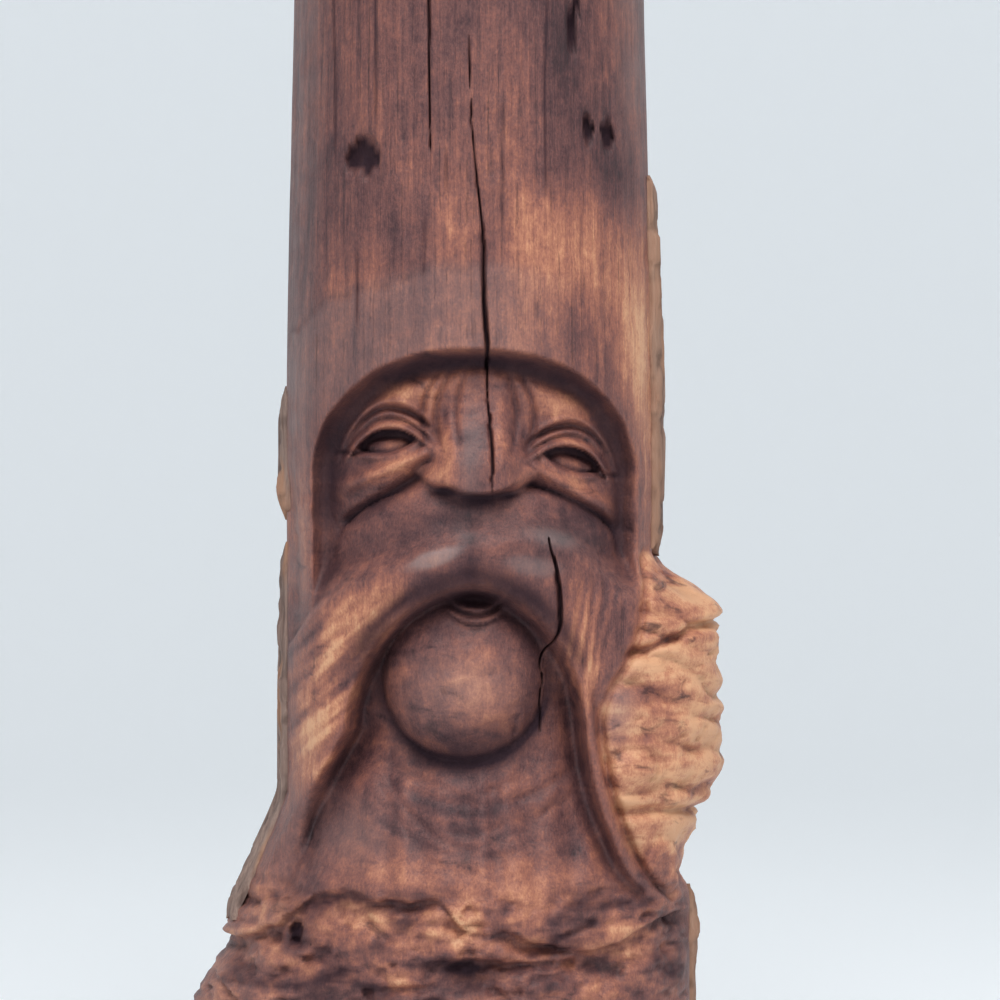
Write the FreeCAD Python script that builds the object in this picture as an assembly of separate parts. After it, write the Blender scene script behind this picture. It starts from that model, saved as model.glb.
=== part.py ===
"""Carved log figure: a hooded old man of the woods, cut into one standing log.

The log stands on its sawn base with its face towards -Y and its crown towards +Z.
Its origin is where the pith, the log's own growth axis, meets the sawn base. Units are
millimetres and degrees. An angle round the log is 0 at the front (-Y) and 90 at +X, and
the figure's left and right are those of someone who looks at its face.

The figure has no joints. What can come off the log by itself is a node of its own: the
plates of bark on its sides and back, and the dead knots, which are cones of older wood.
"""

import FreeCAD, Part
import math
import os

from FreeCAD import Vector

# ---- The log -------------------------------------------------------------------------
log_height = 406.0
crown_radius = 47.6          # half the width at the sawn top
face_radius = 50.0           # half the width from the face down
taper_bottom = 205.0         # the log thins from this height ...
taper_top = 345.0            # ... to this one
depth_ratio = 0.93           # the log is a little less deep than wide
flute_depth = 0.6            # shallow flutes round the log
crown_round = 3.0            # the sawn top's edge is rounded over

root_reach = 39.0            # how far the root swells out at the base, on the left
root_top = 117.0
root_angle = -94.0
root_spread = 62.0

burl_reach = 18.6            # the burl on the right
burl_bottom = 94.0
burl_rise = 34.0             # it swells out over this height from its bottom ...
burl_top = 182.0
burl_fall = 17.0             # ... and turns in again over this height below its top
burl_angle = 84.0
burl_spread = 50.0

butt_swell = 10.0            # the butt below the burl
butt_top = 132.0
butt_fall = 46.0
butt_angle = 86.0
butt_spread = 60.0

# ---- The hood and the face -------------------------------------------------------------
face_centre = 1.5            # how far right of the pith the face is carved
hood_half_width = 43.0
hood_spring = 199.0          # height where the arch of the hood begins
hood_rise = 35.0
hood_wall = 7.0              # width of the sloping wall under the hood
face_depth = 11.0            # depth of the face's ground below the log's skin
ground_bottom = 166.0        # the ground runs out between these two heights
ground_top = 190.0
forehead_height = 221.0
forehead_proud = 4.5

nose_tip_height = 193.5
nose_length = 33.0
nose_bridge_half_width = 7.0
nose_base_half_width = 14.0
nose_proud = 9.0             # height of the nose's tip above the face's ground
nostril_spacing = 20.0
nostril_radius = 5.5

eye_half_width = 7.5
eye_sunk = 2.5               # the eyeball lies this far below the face's ground
left_eye = (-20.7, 210.3, 6.0)    # centre x and height, and how steeply its outer end drops
right_eye = (26.5, 205.7, 14.0)
lid_height = 5.5             # from the corner of the eye up to the middle of the lid
lid_proud = 3.2
lid_width = 2.3
bag_drop = 7.0
bag_proud = 3.6

# ---- The moustache, mouth and chin ------------------------------------------------------
cheek_height = 184.0
cheek_half_width = 34.0
cheek_half_height = 17.0
cheek_proud = 8.0            # above the face's ground
hollow_top = 174.0           # crown of the hollow between the moustache's arms
hollow_bottom = 135.0
hollow_left = 35.0           # its half widths to the two sides
hollow_right = 29.5
hollow_wall = 5.0
hollow_depth = 16.0          # depth of the hollow round the chin
chin_radius = 21.8
chin_height = 148.5
chin_offset = -2.4           # the chin is this far right of the face's centre line
chin_proud = 12.0            # height of the chin above its hollow
lip_height = 166.5
lip_half_width = 6.0
lip_proud = 7.0

# ---- The beard ---------------------------------------------------------------------------
beard_bottom = 88.0
beard_depth = 8.0
beard_flare = 0.42           # how far each edge of the beard goes out as it comes down
strand_radius = 3.0          # the long lock that borders the beard on the right
strand_proud = 5.0

# ---- Drying cracks -------------------------------------------------------------------------
crack_width = 1.4
crack_depth = 17.0
hood_crack = [(1.2, 300.0), (1.8, 268.0), (4.0, 244.0), (4.4, 228.0)]
lobe_crack = [(21.4, 188.0), (23.2, 178.0), (22.4, 162.0)]

# ---- Bark and knots ------------------------------------------------------------------------
bark_thickness = 2.9
bark_clearance = 0.05        # bark has let go of the wood by this much
bark_wander = 1.6            # degrees by which a plate's long edges wander
bark_wave = 60.0             # height of one wave of that wander
base_bare = 10.0             # bark has worn off this much above the sawn base ...
crown_bare = 24.0            # ... and this much below the sawn top
fissure = 6.0                # open height between two plates, one above the other
crown_knot_half_size = (4.6, 3.9)     # half the width and half the height at the skin
pin_knot_half_size = (1.6, 3.0)
root_knot_half_size = (2.0, 2.8)
knot_depth = 22.0
knot_taper = 0.45            # radius at a knot's root as a share of its radius at the skin
knot_sunk = 0.9              # a dead knot has shrunk this far below the skin
knot_sides = 12              # flats round a knot

# ---- How closely surfaces are drawn -----------------------------------------------------
front_limit = 84.0           # the carving lies within this angle of the front
front_step = 2.0             # degrees between points there
back_step = 8.0
carved_bottom = 70.0         # the carving lies between these heights
carved_top = 240.0
carved_step = 2.0            # millimetres between rings there
plain_step = 6.0
overrun = 12.0               # how far a cutting tool runs past what it cuts


def smooth_step(start, end, value):
    """0 before start, 1 after end, and a smooth S between them."""
    share = max(0.0, min(1.0, (value - start) / (end - start)))
    return share * share * (3.0 - 2.0 * share)


def smooth_max(a, b, blend):
    """The larger of a and b, with the corner between them rounded over a width of blend."""
    return max(a, b) + max(0.0, blend - abs(a - b)) ** 2 / (4.0 * blend)


def lobe(angle, centre, spread):
    """1 at the centre angle, falling on a cosine to 0 at spread to each side."""
    away = abs((angle - centre + 180.0) % 360.0 - 180.0)
    return 0.5 + 0.5 * math.cos(math.pi * away / spread) if away < spread else 0.0


def log_radius(angle, height):
    """Distance from the pith to the log's skin: an oval, with the root, burl and butt added."""
    taper = smooth_step(taper_bottom, taper_top, height)
    half_width = face_radius + (crown_radius - face_radius) * taper
    turn = math.radians(angle)
    oval = half_width / math.hypot(math.sin(turn), math.cos(turn) / depth_ratio)
    flutes = flute_depth * math.cos(5.0 * turn + height / 40.0) * math.sin(0.5 * turn) ** 2
    root_rise = max(0.0, 1.0 - max(0.0, height) / root_top)
    root = root_reach * math.sin(0.5 * math.pi * root_rise) ** 1.15
    burl = burl_reach * (
        smooth_step(burl_bottom, burl_bottom + burl_rise, height)
        - smooth_step(burl_top - burl_fall, burl_top, height)
    )
    butt = butt_swell * (1.0 - smooth_step(butt_top - butt_fall, butt_top, height))
    over_edge = min(1.0, max(0.0, height - log_height + crown_round) / crown_round)
    return (
        oval
        + flutes
        + root * lobe(angle, root_angle, root_spread)
        + burl * lobe(angle, burl_angle, burl_spread)
        + butt * lobe(angle, butt_angle, butt_spread)
        - crown_round * (1.0 - math.sqrt(1.0 - over_edge ** 2))
    )


def skin_point(angle, height, depth=0.0):
    """The point at that angle and height, depth below the log's skin."""
    radius = log_radius(angle, height) - depth
    turn = math.radians(angle)
    return Vector(radius * math.sin(turn), -radius * math.cos(turn), height)


def hood_inside(x, height):
    """Distance inwards from the arch of the hood, negative outside it."""
    across = abs(x - face_centre)
    if height < hood_spring:
        return hood_half_width - across
    share = math.hypot(across / hood_half_width, (height - hood_spring) / hood_rise)
    return (1.0 - share) * hood_rise


def hollow_inside(x, height):
    """Distance inwards from the edge of the hollow between the moustache's arms."""
    across = x - face_centre
    half_width = hollow_left if across < 0.0 else hollow_right
    tall = hollow_top - hollow_bottom
    if height < hollow_bottom:
        spread = beard_flare * (hollow_bottom - height)
        return half_width + spread - abs(across)
    share = math.hypot(across / half_width, (height - hollow_bottom) / tall)
    return (1.0 - share) * half_width


def dome(x, height, centre_x, centre_height, half_width, half_height):
    """1 at the centre of an ellipse, falling like the top of a ball to 0 at its edge."""
    share = ((x - centre_x) / half_width) ** 2 + ((height - centre_height) / half_height) ** 2
    return math.sqrt(1.0 - share) if share < 1.0 else 0.0


def ridge(away, width):
    """1 on a line, falling on a bell curve with the distance away from it."""
    return math.exp(-((away / width) ** 2))


def nose_relief(x, height):
    """Height of the nose above the ground: a wedge that widens and rises to its tip."""
    down = (nose_tip_height + nose_length - height) / nose_length
    if not 0.0 < down < 1.4:
        return 0.0
    centre = face_centre + 2.6 - 1.2 * down
    spread = nose_bridge_half_width + (nose_base_half_width - nose_bridge_half_width) * min(1.0, down)
    across = abs(x - centre) / spread
    if across > 1.0:
        return 0.0
    under = height - nose_tip_height - 6.0 * across * across
    rise = nose_proud * (0.30 + 0.70 * smooth_step(0.0, 0.9, down))
    return rise * math.cos(0.5 * math.pi * across) ** 0.8 * smooth_step(-1.5, 3.5, under)


def wing_relief(x, height):
    """Height of the wings of the nostrils above the ground."""
    total = 0.0
    for side in (-1.0, 1.0):
        centre = face_centre + 1.0 + side * 0.5 * nostril_spacing
        wing = dome(x, height, centre, nose_tip_height + 6.5, nostril_radius, 0.85 * nostril_radius)
        total = max(total, 0.5 * nose_proud * wing)
    return total


def eye_relief(x, height, eye, side):
    """Relief of one eye on its side (-1 left, 1 right): sunken ball, arched lid and bag."""
    centre_x, centre_height, drop = eye
    slope = math.radians(drop)
    out = side * (x - centre_x)
    up = height - centre_height
    along = out * math.cos(slope) - up * math.sin(slope)
    above = out * math.sin(slope) + up * math.cos(slope)
    near = smooth_step(2.1 * eye_half_width, 1.4 * eye_half_width, abs(along - 1.5))
    arch = lid_height - 0.055 * (along - 1.0) ** 2
    lid = lid_proud * ridge(above - arch, lid_width)
    opening = -eye_sunk * dome(along, above, 0.5, 0.4, eye_half_width, 3.0)
    bag = bag_proud * ridge(above + bag_drop + 0.27 * along, 2.6)
    crease = -2.6 * ridge(above + 1.75 * bag_drop + 0.45 * along, 1.8)
    return near * (lid + bag + crease) + opening


def relief(x, height):
    """Height of the carved surface above the log's own skin: negative where wood is cut away."""
    ground_share = smooth_step(ground_bottom, ground_top, height)
    ground = -face_depth * ground_share * smooth_step(0.0, hood_wall, hood_inside(x, height))
    inside = smooth_step(2.0, 11.0, hood_inside(x, height)) * ground_share
    brow = forehead_proud * dome(x, height, face_centre, forehead_height, 32.0, 16.0)
    face = ground + inside * brow
    if height > nose_tip_height - 8.0:
        face = max(face, face + max(nose_relief(x, height), wing_relief(x, height)))
    face += inside * (
        eye_relief(x, height, left_eye, -1.0) + eye_relief(x, height, right_eye, 1.0)
    )
    cheek = cheek_proud * dome(
        x, height, face_centre, cheek_height, cheek_half_width, cheek_half_height
    )
    if cheek > 0.0:
        face = smooth_max(face, cheek - face_depth, 3.0)

    hollow = hollow_inside(x, height)
    deep = smooth_step(chin_height - 1.5 * chin_radius, chin_height - 0.6 * chin_radius, height)
    fade = smooth_step(beard_bottom - 4.0, beard_bottom + 26.0, height)
    cut = beard_depth * fade + (hollow_depth - beard_depth) * deep
    face = min(face, face * (1.0 - smooth_step(0.0, hollow_wall, hollow)) - cut * smooth_step(
        0.0, hollow_wall, hollow
    ))
    chin_x = face_centre + chin_offset
    chin = dome(x, height, chin_x, chin_height, chin_radius, chin_radius)
    if chin > 0.0:
        face = max(face, chin_proud * chin - hollow_depth)
    lip = dome(x, height, chin_x + 2.8, lip_height, lip_half_width, 2.2)
    if lip > 0.0:
        face = smooth_max(face, lip_proud * lip - hollow_depth, 2.0)
    strand_x = face_centre + hollow_right + 2.0 + 0.004 * max(0.0, 140.0 - height) ** 2
    strand = strand_proud * ridge(x - strand_x, strand_radius)
    strand *= smooth_step(beard_bottom, beard_bottom + 12.0, height)
    strand *= smooth_step(hollow_bottom + 10.0, hollow_bottom - 6.0, height)
    return face + min(strand, -face) if face < 0.0 else face


def carved_point(angle, height):
    """The point of the carved surface that lies at that angle and height of the skin."""
    point = skin_point(angle, height)
    away = abs((angle + 180.0) % 360.0 - 180.0)
    if away > front_limit or not carved_bottom < height < carved_top:
        return point
    rise = relief(point.x, height) * smooth_step(front_limit, front_limit - 12.0, away)
    sideways = smooth_step(52.0, front_limit, away)
    turn = math.radians(angle)
    outwards = Vector(sideways * math.sin(turn), -1.0 + sideways * (1.0 - math.cos(turn)), 0.0)
    return point + outwards.normalize() * rise


def steps(start, end, spacing):
    """Even steps from start up to, but not including, end."""
    count = max(1, round((end - start) / spacing))
    return [start + (end - start) * i / count for i in range(count)]


def through(points, closed):
    """Control points of an even cubic spline that runs through these points, to second order."""
    count = len(points)
    moved = []
    for i, point in enumerate(points):
        if not closed and i in (0, count - 1):
            moved.append(point)
            continue
        middle = (points[i - 1] + points[(i + 1) % count]) * 0.5
        moved.append(point + (point - middle) * (1.0 / 3.0))
    return moved


def turned_solid(rings, front_count):
    """The closed solid whose side runs through rings of points, each ring at one height.

    The side is two faces: one over the first front_count points of each ring, one over the rest.
    """
    rings = [through(points, closed=True) for points in rings]
    poles = [through(list(column), closed=False) for column in zip(*rings)]
    around = len(poles)
    spans = len(poles[0]) - 3
    sides = []
    for start, end in ((0, front_count), (front_count, around)):
        surface = Part.BSplineSurface()
        surface.buildFromPolesMultsKnots(
            poles,
            [1] * (around + 1),
            [4] + [1] * (spans - 1) + [4],
            [float(i) for i in range(around + 1)],
            [float(i) for i in range(spans + 1)],
            True,
            False,
            3,
            3,
        )
        surface.segment(float(start), float(end), 0.0, float(spans))
        sides.append(surface.toShape())
    flat_edges = [edge for side in sides for edge in side.Edges if edge.BoundBox.ZLength < 1e-6]
    ends = []
    for height in (0.0, log_height):
        rim = [edge for edge in flat_edges if abs(edge.BoundBox.ZMin - height) < 1e-3]
        ends.append(Part.Face(Part.Wire(Part.__sortEdges__(rim))))
    shell = Part.makeShell(sides + ends)
    shell.sewShape()
    return Part.Solid(shell)


def carved_solid():
    """The log with its figure: rings of points, closest together where the carving is."""
    front = steps(-front_limit, front_limit, front_step)
    angles = front + steps(front_limit, 360.0 - front_limit, back_step)
    heights = steps(0.0, carved_bottom, plain_step) + steps(carved_bottom, carved_top, carved_step)
    round_start = log_height - crown_round
    heights += steps(carved_top, round_start, plain_step)
    heights += steps(round_start, log_height, 0.4 * crown_round) + [log_height]
    return turned_solid([[carved_point(a, h) for a in angles] for h in heights], len(front))


def crack(route):
    """A drying crack: a wedge along a route of (x, height), closing towards the pith."""
    front = -(face_radius + overrun)
    back = -(face_radius - crack_depth)
    last = len(route) - 1
    outlines = []
    for depth, share in ((front, 0.5), (back, 0.08)):
        left, right = [], []
        for i, (x, height) in enumerate(route):
            half = crack_width * share * (0.2 if i in (0, last) else 1.0)
            left.append(Vector(x - half, depth, height))
            right.append(Vector(x + half, depth, height))
        outlines.append(Part.makePolygon(left + right[::-1] + left[:1]))
    return Part.makeLoft(outlines, True, True)


def knot_cone(angle, height, half_width, half_height, start_depth):
    """A knot: an oval cone from start_depth below the skin to its narrow end near the pith."""
    turn = math.radians(angle)
    across = Vector(math.cos(turn), math.sin(turn), 0.0)
    rims = []
    for depth in (start_depth, knot_depth):
        share = 1.0 - (1.0 - knot_taper) * depth / knot_depth
        middle = skin_point(angle, height, depth)
        rim = []
        for side in range(knot_sides):
            round_turn = 2.0 * math.pi * side / knot_sides
            step_up = Vector(0.0, 0.0, half_height * share * math.sin(round_turn))
            rim.append(middle + across * (half_width * share * math.cos(round_turn)) + step_up)
        rims.append(Part.makePolygon(rim + rim[:1]))
    return Part.makeLoft(rims, True, True)


def knots(start_depth):
    """Each knot's name, with its cone. A depth below 0 gives the tool that cuts its socket."""
    places = {
        "left_crown_knot": (-34.5, 284.0, *crown_knot_half_size),
        "right_crown_inner_knot": (41.5, 291.0, *pin_knot_half_size),
        "right_crown_outer_knot": (49.5, 291.0, *pin_knot_half_size),
        "root_knot": (-55.0, 81.0, *root_knot_half_size),
    }
    return {name: knot_cone(*place, start_depth) for name, place in places.items()}


def bark_plate(from_angle, to_angle, bottom, top):
    """One plate of bark that lies on the log, its two long edges wandering together."""
    sections = []
    for height in steps(bottom, top, plain_step) + [top]:
        wander = bark_wander * math.sin(2.0 * math.pi * height / bark_wave + from_angle)
        start, end = from_angle + wander, to_angle + wander
        angles = steps(start, end, 0.7 * back_step) + [end]
        rims = []
        for depth in (-bark_clearance, -bark_clearance - bark_thickness):
            curve = Part.BSplineCurve()
            curve.interpolate([skin_point(angle, height, depth) for angle in angles])
            rims.append(curve)
        inner, outer = rims
        sections.append(Part.Wire([
            inner.toShape(),
            Part.makeLine(inner.EndPoint, outer.EndPoint),
            outer.toShape(),
            Part.makeLine(outer.StartPoint, inner.StartPoint),
        ]))
    return Part.makeLoft(sections, True, False)


def bark_plates():
    """Each plate's name, with its solid. Open fissures are left between neighbours."""
    top = log_height - crown_bare
    plates = {
        "right_side_bark": bark_plate(79.0, 123.0, 179.0, 286.0),
        "right_butt_bark": bark_plate(86.0, 125.0, base_bare, 92.0),
        "left_cheek_bark": bark_plate(-122.0, -80.0, 190.0, 225.5),
        "left_side_bark": bark_plate(-125.0, -82.0, 81.0, 184.0),
    }
    columns = {"back_right": (129.0, 176.0, 136.0, 248.0), "back_left": (181.0, 229.0, 118.0, 262.0)}
    for side, (start, end, low, high) in columns.items():
        plates[f"{side}_root_bark"] = bark_plate(start, end, base_bare, low)
        plates[f"{side}_middle_bark"] = bark_plate(start, end, low + fissure, high)
        plates[f"{side}_crown_bark"] = bark_plate(start, end, high + fissure, top)
    return plates


def main():
    os.makedirs("parts", exist_ok=True)
    log = carved_solid()
    for tool in [crack(hood_crack), crack(lobe_crack)] + list(knots(-overrun).values()):
        log = log.cut(tool)
    nodes = {"carved_log": log, **knots(knot_sunk), **bark_plates()}
    for name, shape in nodes.items():
        count = len(shape.Solids)
        print(f"{name}: {count} solid, {shape.Volume / 1000.0:.2f} cm3, valid {shape.isValid()}")
        shape.exportStep(f"parts/{name}.step")


main()
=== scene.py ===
from itertools import product

import bpy
import numpy as np
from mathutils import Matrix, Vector


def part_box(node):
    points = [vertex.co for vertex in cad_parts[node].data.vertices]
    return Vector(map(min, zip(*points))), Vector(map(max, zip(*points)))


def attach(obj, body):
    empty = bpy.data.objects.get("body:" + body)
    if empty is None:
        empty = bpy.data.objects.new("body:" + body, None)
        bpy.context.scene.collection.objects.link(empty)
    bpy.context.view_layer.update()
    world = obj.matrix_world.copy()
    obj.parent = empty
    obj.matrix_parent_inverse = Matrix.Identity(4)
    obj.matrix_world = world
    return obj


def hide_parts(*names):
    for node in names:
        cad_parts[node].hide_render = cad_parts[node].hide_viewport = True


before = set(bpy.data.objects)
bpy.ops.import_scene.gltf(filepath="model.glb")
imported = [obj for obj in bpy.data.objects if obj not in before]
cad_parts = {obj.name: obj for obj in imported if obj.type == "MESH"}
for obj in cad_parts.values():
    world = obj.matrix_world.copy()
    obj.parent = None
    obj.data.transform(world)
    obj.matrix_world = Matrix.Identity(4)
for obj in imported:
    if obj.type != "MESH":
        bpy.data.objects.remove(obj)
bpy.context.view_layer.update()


# ==== The log ===========================================================================
# One length of red softwood, felled, peeled on its front and left with its bark on its
# sides and back. Its root swells out at the base on the left and a burl grows on its right.
# Heights and distances are millimetres, and angles are degrees: 0 is the front, 90 is +X.
MILLIMETRE = 0.001
log_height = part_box("carved_log")[1].z / MILLIMETRE
crown_radius = 47.6          # half the width at the sawn top
face_radius = 50             # half the width from the face down
depth_ratio = 0.93           # the log is a little less deep than wide
crown_round = 3              # the sawn top's edge is rounded over
root_reach = 39              # how far the root swells out at the base, on the left
root_height = 117            # where that swelling starts
burl_reach = 18.6            # how far the burl swells out, on the right
butt_reach = 10              # how far the butt swells out below the burl


def rise(start, end, value):
    """0 before start, 1 after end, and a smooth S between them."""
    share = np.clip((value - start) / (end - start), 0, 1)
    return share * share * (3 - 2 * share)


def bell(away, width):
    """1 on a line, falling on a bell curve with the distance away from it."""
    return np.exp(-((away / width) ** 2))


def dome(x, z, centre_x, centre_z, half_width, half_height):
    """1 at the centre of an ellipse, falling like the top of a ball to 0 at its edge."""
    share = ((x - centre_x) / half_width) ** 2 + ((z - centre_z) / half_height) ** 2
    return np.sqrt(np.clip(1 - share, 0, 1))


def patch(x, z, centre_x, centre_z, half_width, half_height, lean=0):
    """1 at the centre of an ellipse that leans over by lean degrees, falling away on a bell curve."""
    turn = np.radians(lean)
    across = (x - centre_x) * np.cos(turn) - (z - centre_z) * np.sin(turn)
    along = (x - centre_x) * np.sin(turn) + (z - centre_z) * np.cos(turn)
    return np.exp(-((across / half_width) ** 2) - (along / half_height) ** 2)


def larger(a, b, blend):
    """The larger of a and b, with the corner between them rounded over a width of blend."""
    return np.maximum(a, b) + np.clip(blend - np.abs(a - b), 0, None) ** 2 / (4 * blend)


def course(points, at, sort_by=1):
    """The smooth line through points (x, z): its x at each height, or its z at each x.

    Between two points it is the cubic that leaves each one at the mean of its neighbours' slopes.
    """
    points = np.array(sorted(points, key=lambda point: point[sort_by]), float)
    place, value = points[:, sort_by], points[:, 1 - sort_by]
    slope = np.gradient(value, place)
    at = np.clip(at, place[0], place[-1])
    i = np.clip(np.searchsorted(place, at) - 1, 0, len(place) - 2)
    gap = place[i + 1] - place[i]
    t = (at - place[i]) / gap
    start = (1 + 2 * t) * (1 - t) ** 2 * value[i] + t * (1 - t) ** 2 * gap * slope[i]
    return start + t * t * (3 - 2 * t) * value[i + 1] + t * t * (t - 1) * gap * slope[i + 1]


def noise(x, y, seed):
    """Smooth random values from -1 to 1: one at each corner of a unit lattice, blended between."""
    corners = [np.floor(c).astype(np.int64) for c in (x, y)]
    parts = [rise(0, 1, c - corner) for c, corner in zip((x, y), corners)]
    total = 0
    for step in product((0, 1), repeat=2):
        mixed = np.int64(seed * 7919)
        weight = 1
        for corner, part, side, factor in zip(corners, parts, step, (73856093, 19349663)):
            mixed = mixed ^ ((corner + side) * factor)
            weight = weight * (part if side else 1 - part)
        mixed = (mixed ^ (mixed >> 13)) * 1274126177
        total = total + weight * (((mixed ^ (mixed >> 16)) & 65535) / 32767.5 - 1)
    return total


def rough(x, y, octaves, seed):
    """Noise on noise: each octave is twice as fine as the last and half as high."""
    return sum(noise(x * 2 ** i, y * 2 ** i, seed + i) / 2 ** i for i in range(octaves))


def lobe(angle, centre, spread):
    """1 at the centre angle, falling on a cosine to 0 at spread to each side."""
    away = np.abs((angle - centre + 180) % 360 - 180)
    return np.where(away < spread, 0.5 + 0.5 * np.cos(np.pi * np.minimum(away / spread, 1)), 0)


def log_radius(angle, z):
    """Distance from the pith to the skin: an oval that thins upwards, with root, burl and butt."""
    turn = np.radians(angle)
    half_width = face_radius + (crown_radius - face_radius) * rise(205, 345, z)
    oval = half_width / np.hypot(np.sin(turn), np.cos(turn) / depth_ratio)
    flutes = 0.6 * np.cos(5 * turn + z / 40) * np.sin(0.5 * turn) ** 2
    root = root_reach * np.sin(0.5 * np.pi * np.clip(1 - z / root_height, 0, 1)) ** 1.15
    burl = burl_reach * (rise(94, 128, z) - rise(165, 182, z))
    butt = butt_reach * (1 - rise(86, 132, z))
    over_edge = np.clip((z - log_height + crown_round) / crown_round, 0, 1)
    return (
        oval
        + flutes
        + root * lobe(angle, -94, 62)
        + burl * lobe(angle, 84, 50)
        + butt * lobe(angle, 86, 60)
        - crown_round * (1 - np.sqrt(1 - over_edge ** 2))
    )


# ---- The figure, cut into the log's front with gouges ----------------------------------
# An arched hood is cut into the log first, and the face is left standing in its hollow. Each
# function gives heights in millimetres above the log's own skin, negative where wood is gone.
face_x = 1.5                 # the face's centre line
hood_depth = 11              # how deep the ground of the face is cut
chin_x, chin_z, chin_radius = -0.9, 148.5, 21.8   # the ball of the chin
left_eye = (-20.7, 210.3, 6, -1, 13, 0.48)     # centre x and z, drop of its outer end,
right_eye = (26.5, 205.7, 14, 1, 11.5, 0.22)   # side, and the cheek crease's drop and slope
main_crack = [(-0.4, 330), (0.5, 299), (1, 289), (2.3, 276), (3.5, 265), (4, 248),
              (4.8, 233), (4.8, 223), (5.8, 210), (6.1, 197.5), (6.1, 180)]
lobe_crack = [(20.4, 192), (20.8, 184.8), (22.8, 176), (23.6, 169.5), (23.3, 162),
              (22, 158.5), (19.7, 156), (18.8, 147), (18.3, 139), (18.3, 128)]
crown_crack = [(-10.9, 406), (-10.4, 330), (-9.8, 290), (-9.6, 270)]
moustache_top = [(-52, 151), (-49.5, 155), (-45.8, 159.3), (-40.6, 165.4), (-31.7, 172),
                 (-18.2, 178.2), (-3.4, 182.8), (6, 184), (20, 184.5), (34.4, 176),
                 (42.5, 169.5), (52, 163)]


def inside_hood(x, z):
    """Distance inwards from the hood's arch, cut freehand: half a rounded oval over straight sides."""
    across = np.abs(x - face_x) / 43
    up = np.clip(z - 199, 0, None) / 35
    return (1 - (across ** 2.2 + up ** 2.2) ** (1 / 2.2)) * 39 + 0.35 * noise(x / 6, z / 6, 3)


def inside_hollow(x, z):
    """Distance inwards from the moustache's lower edge: a pointed arch that flares out below."""
    across = x - face_x
    left, right = np.full_like(across, 34.7), np.full_like(across, 30.2)
    left = left + 0.60 * np.clip(135 - z, 0, None)
    right = right + 0.0072 * np.clip(140 - z, 0, None) ** 2
    share = np.abs(across) / np.where(across < 0, left, right)
    up = np.clip(z - 135, 0, None) / 39.1
    return (1 - (share ** 1.8 + up ** 1.8) ** (1 / 1.8)) * 32


def nose(x, z):
    """A wedge that widens and rises from the brow to its tip, flat on top, with round wings."""
    down = (228 - z) / 33
    centre = 3.6 - 1.3 * down
    spread = 8.4 + 5.6 * rise(0, 0.95, down)
    across = np.abs(x - centre) / spread
    crest = np.clip((1.02 - across) / 0.60, 0, 1)
    under = z - 195.4 - 0.026 * (x - centre) ** 2
    cut = rise(-0.9, 2, under)
    height = (1.8 + 7 * rise(0.05, 0.92, down)) * rise(-0.15, 0.12, down)
    ridge = height * np.sin(0.5 * np.pi * crest) ** 1.1 * cut
    tip = 1.4 * patch(x, z, 2.6, 199.5, 6, 4) * cut
    wings = 0
    for wing_x, wing_z in ((-8.6, 200.6), (12.6, 200.2)):
        wings = np.maximum(wings, 5 * dome(x, z, wing_x, wing_z, 5.6, 4.4) ** 0.8)
    holes = 3 * patch(x, z, -6.3, 197, 3.2, 1.3, -8) + 2.2 * patch(x, z, 10.8, 195.8, 2.8, 0.9, -10)
    under_tip = 3.4 * patch(x, z, 2.6, 194.2, 5.2, 1.9)
    return larger(ridge + tip, wings * rise(-1.6, 0.8, under), 2) - 0.5 - holes - under_tip


def eye(x, z, place):
    """Heavy arched lid over a slit, two folds above the lid, a bag below it, and a cheek crease."""
    centre_x, centre_z, drop, side, crease_drop, crease_slope = place
    slope = np.radians(drop)
    out, up = side * (x - centre_x), z - centre_z
    u = out * np.cos(slope) - up * np.sin(slope)
    v = out * np.sin(slope) + up * np.cos(slope)
    above = v - 3.1 + 0.056 * (u - 0.4) ** 2
    over_brow = v - 10 + 0.058 * (u + 0.6) ** 2
    floor = -2.7 + 0.034 * (u - 1.5) ** 2
    near = rise(17, 11.5, np.abs(u - 1.5))
    lid = 3 * np.sin(np.pi * np.clip(above / 2.8, 0, 1) ** 0.62) ** 0.7
    folds = 1.4 * bell(above - 4.1, 0.8) - 1.9 * bell(over_brow + 1.3, 1)
    folds = folds + 1.2 * bell(over_brow - 0.4, 0.9)
    opening = rise(0.4, -0.2, above) * rise(-0.4, 0.2, v - floor) * rise(8.2, 6.4, np.abs(u - 0.6))
    ball = -3.3 + 2.8 * dome(u, v, 0.7, -1, 5.6, 1.9) ** 0.7
    lower_lid = 1.6 * bell(v - floor + 1.3, 0.9) * rise(10, 6.5, np.abs(u - 0.3))
    corner = -1.8 * bell(v + 2.3 - 0.16 * (u - 7), 0.7) * rise(5.5, 8, u) * rise(18, 13, u)
    bag = 2.8 * bell(v + 6.7 + 0.30 * u, 2) * rise(17.5, 10, np.abs(u - 1.5))
    cheek_line = v + crease_drop + crease_slope * u
    cheek_crease = -4.4 * bell(cheek_line, 2.1) * rise(-12, -7, u) * rise(18, 12, u)
    socket = -2.2 * patch(u, v, 0.5, 1.5, 11, 6.5)
    folded = (lid * rise(12.5, 8.5, np.abs(u - 0.6)) + folds * rise(15, 9.5, np.abs(u - 1))) * near
    return folded + opening * ball + lower_lid + corner + bag + cheek_crease + socket


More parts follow.
